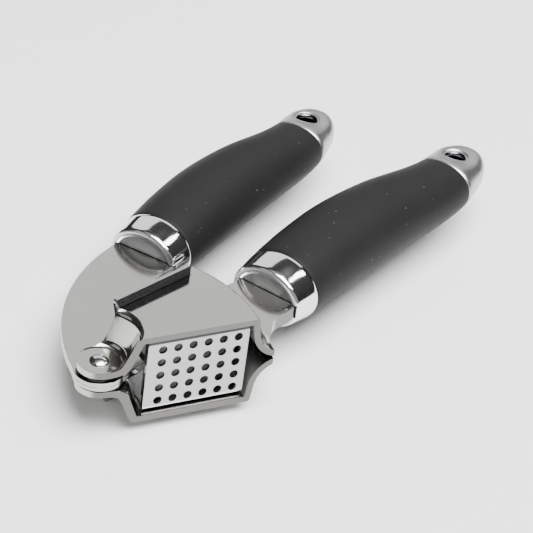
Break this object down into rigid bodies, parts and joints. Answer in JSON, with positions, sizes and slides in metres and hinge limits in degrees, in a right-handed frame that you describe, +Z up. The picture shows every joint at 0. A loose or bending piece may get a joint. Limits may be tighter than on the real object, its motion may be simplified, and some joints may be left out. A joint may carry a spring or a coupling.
{
  "type": "garlic_press",
  "caption": "Hand-held garlic press of bright sheet steel with a lift-out perforated sieve, a hinged lever with a press foot, and dark soft grips ended by metal hanging caps",
  "frame": {"origin": "bottom centre of the press as it lies on its side, in the middle of its plan", "axes": "+X along the sieve face away from the pivot, +Y from the sieve face towards the filling mouth, +Z up and along the pivot axis"},
  "size_m": [0.1696, 0.1186, 0.0354],
  "materials": {
    "brushed_sheet": "satin stainless sheet with a fine one-way grain",
    "sieve_steel": "bright polished stainless sheet",
    "foot_steel": "plain steel pressing",
    "pin_steel": "turned steel",
    "polished_chrome": "mirror-bright plated ferrule",
    "satin_chrome": "satin plated cap",
    "grip_rubber": "soft matt charcoal elastomer",
    "core_plastic": "moulded handle core"
  },
  "bodies": {
    "body": {"body_cheek_upper": "brushed_sheet", "body_cheek_lower": "brushed_sheet", "sieve_insert": "sieve_steel", "pivot_rivet": "pin_steel", "pivot_washers": "pin_steel", "body_ferrule": "polished_chrome", "body_handle_core": "core_plastic", "body_grip": "grip_rubber", "body_end_cap": "satin_chrome", "body_tang_pins": "pin_steel", "body_cap_pin": "pin_steel"},
    "lever": {"lever_plate_upper": "brushed_sheet", "lever_plate_lower": "brushed_sheet", "press_foot": "foot_steel", "press_foot_rivets": "pin_steel", "lever_ferrule": "polished_chrome", "lever_handle_core": "core_plastic", "lever_grip": "grip_rubber", "lever_end_cap": "satin_chrome", "lever_tang_pins": "pin_steel", "lever_cap_pin": "pin_steel"}
  },
  "joints": [
    {"name": "lever_hinge", "type": "hinge", "parent": "body", "child": "lever", "pos_m": [-0.07757, -0.05213, 0.0177], "axis": [0, 0, 1], "range_deg": [-7, 70]}
  ]
}
